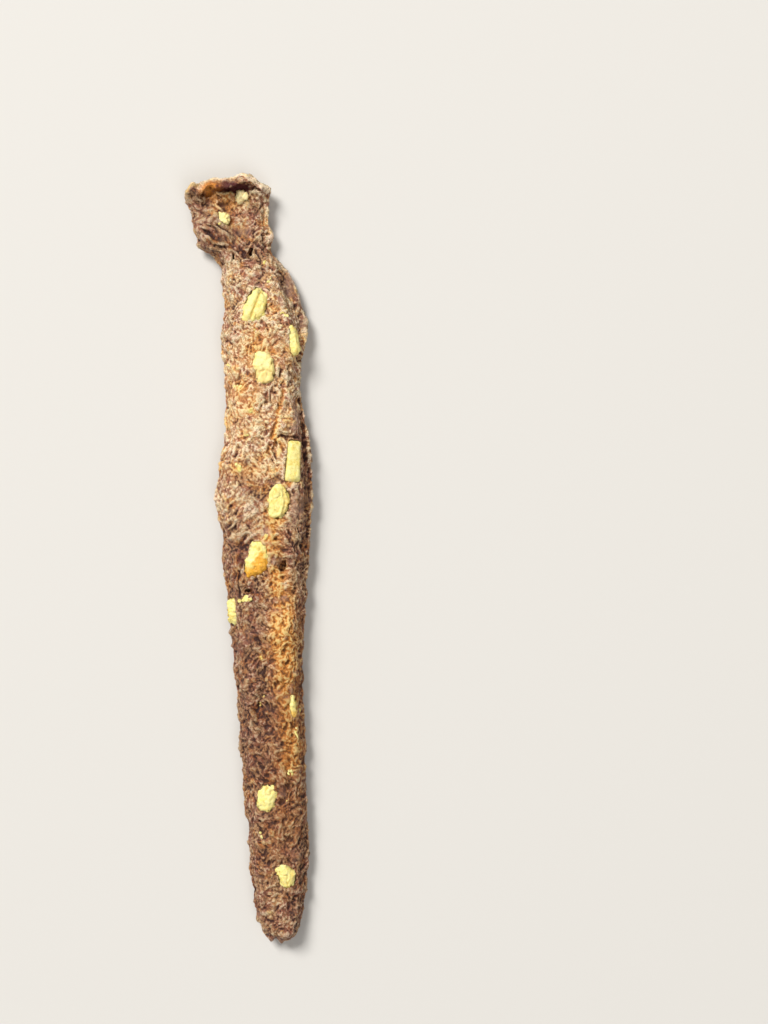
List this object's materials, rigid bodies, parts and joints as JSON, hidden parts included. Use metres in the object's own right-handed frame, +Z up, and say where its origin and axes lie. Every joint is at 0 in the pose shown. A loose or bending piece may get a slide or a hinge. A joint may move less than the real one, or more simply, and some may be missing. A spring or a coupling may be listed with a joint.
{
  "type": "venison cheese stick",
  "caption": "Dried venison stick with lumps of cheese set in the rough meat, a torn curled head and rack marks on its underside; a chewy snack that lies flat.",
  "frame": {"origin": "middle of the bounding box at the underside, on the surface that the stick lies on", "axes": "+Y runs along the stick towards its torn curled head, +X across it to the right, +Z up out of the rough side"},
  "size_m": [0.0262, 0.1578, 0.0084],
  "materials": {
    "meat": "dry rough dark brown meat with a slight sheen",
    "cheese": "dried pale yellow cheese, amber where it has browned"
  },
  "bodies": {
    "root": {"meat": "meat", "cheese_01": "cheese", "cheese_02": "cheese", "cheese_03": "cheese", "cheese_04": "cheese", "cheese_05": "cheese", "cheese_06": "cheese", "cheese_07": "cheese", "cheese_08": "cheese", "cheese_09": "cheese", "cheese_10": "cheese", "cheese_11": "cheese", "cheese_12": "cheese", "cheese_13": "cheese", "cheese_14": "cheese"}
  },
  "joints": []
}
